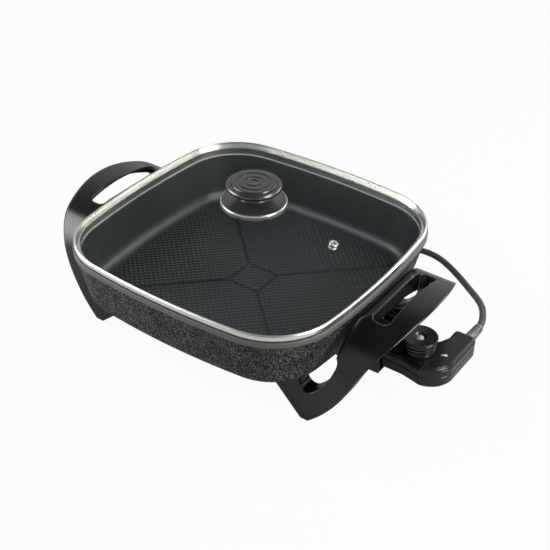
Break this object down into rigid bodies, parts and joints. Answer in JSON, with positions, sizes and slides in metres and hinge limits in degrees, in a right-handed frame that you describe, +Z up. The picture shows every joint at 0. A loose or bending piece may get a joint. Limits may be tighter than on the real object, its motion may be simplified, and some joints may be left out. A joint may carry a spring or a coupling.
{
  "type": "electric skillet",
  "caption": "Square electric skillet with non-stick pan, domed glass lid in a steel rim, black handles with legs and a plug-in heat control on a mains cord.",
  "frame": {"origin": "on the table, under the middle of the box round the skillet with its control plugged in, the cord left out", "axes": "+X along the handles, towards the plug-in control; +Y away from the front side, towards the side where the cord lies; +Z up from the table"},
  "size_m": [0.4364, 0.377, 0.1683],
  "materials": {
    "phenolic": "glossy moulded phenolic",
    "pan_coat": "non-stick inside, speckled enamel outside, on die-cast aluminium",
    "sheath": "oxidised steel sheath of the heating rod",
    "steel": "polished stainless steel",
    "zinc": "zinc-plated steel",
    "guard_coat": "black stoved enamel on steel sheet",
    "glass": "tempered clear glass",
    "bead": "glazed steatite",
    "seal": "silicone",
    "brass": "plain brass",
    "spring": "phosphor bronze strip",
    "lens": "clear lens over a warm lamp",
    "cam": "natural moulded nylon",
    "wire": "silicone-covered lead wire",
    "lamp": "neon lamp",
    "cord_jacket": "matte PVC jacket",
    "tie": "plastic-covered wire tie"
  },
  "bodies": {
    "base": {"pan": "pan_coat", "heating_element": "sheath", "terminal_beads": "bead", "terminal_pins": "steel", "terminal_guard": "guard_coat", "guard_screws": "zinc", "handle_right": "phenolic", "handle_left": "phenolic", "handle_screws_right": "zinc", "handle_screws_left": "zinc"},
    "lid": {"lid_glass": "glass", "lid_band": "steel", "vent_eyelet": "steel", "knob_skirt": "phenolic", "knob_disc": "phenolic", "knob_insert": "phenolic", "knob_screw": "zinc", "knob_washer": "zinc", "knob_gasket_upper": "seal", "knob_gasket_lower": "seal"},
    "control": {"case_bottom": "phenolic", "case_top": "phenolic", "case_screws": "zinc", "sensor_probe": "steel", "probe_collar": "zinc", "pin_sockets": "brass", "thermostat_frame": "zinc", "bimetal_blade": "spring", "contact_spring": "spring", "fixed_contact": "brass", "indicator_lamp": "lamp", "lead_wires": "wire", "cord_clamp": "zinc", "strain_relief": "cord_jacket", "cord": "cord_jacket", "cord_coil": "cord_jacket", "cord_tie": "tie", "plug_body": "cord_jacket", "plug_blades": "brass"},
    "dial": {"dial": "phenolic", "dial_lens": "lens", "dial_spindle": "zinc", "dial_cam": "cam"}
  },
  "joints": [
    {"name": "lid_lift", "type": "slide", "parent": "base", "child": "lid", "axis": [0, 0, 1], "range_m": [0, 0.16]},
    {"name": "control_pull", "type": "slide", "parent": "base", "child": "control", "axis": [1, 0, 0], "range_m": [0, 0.09]},
    {"name": "dial_turn", "type": "hinge", "parent": "control", "child": "dial", "pos_m": [0.18175, -0.0025, 0.0575], "axis": [0, 0, 1], "range_deg": [0, 280]}
  ]
}
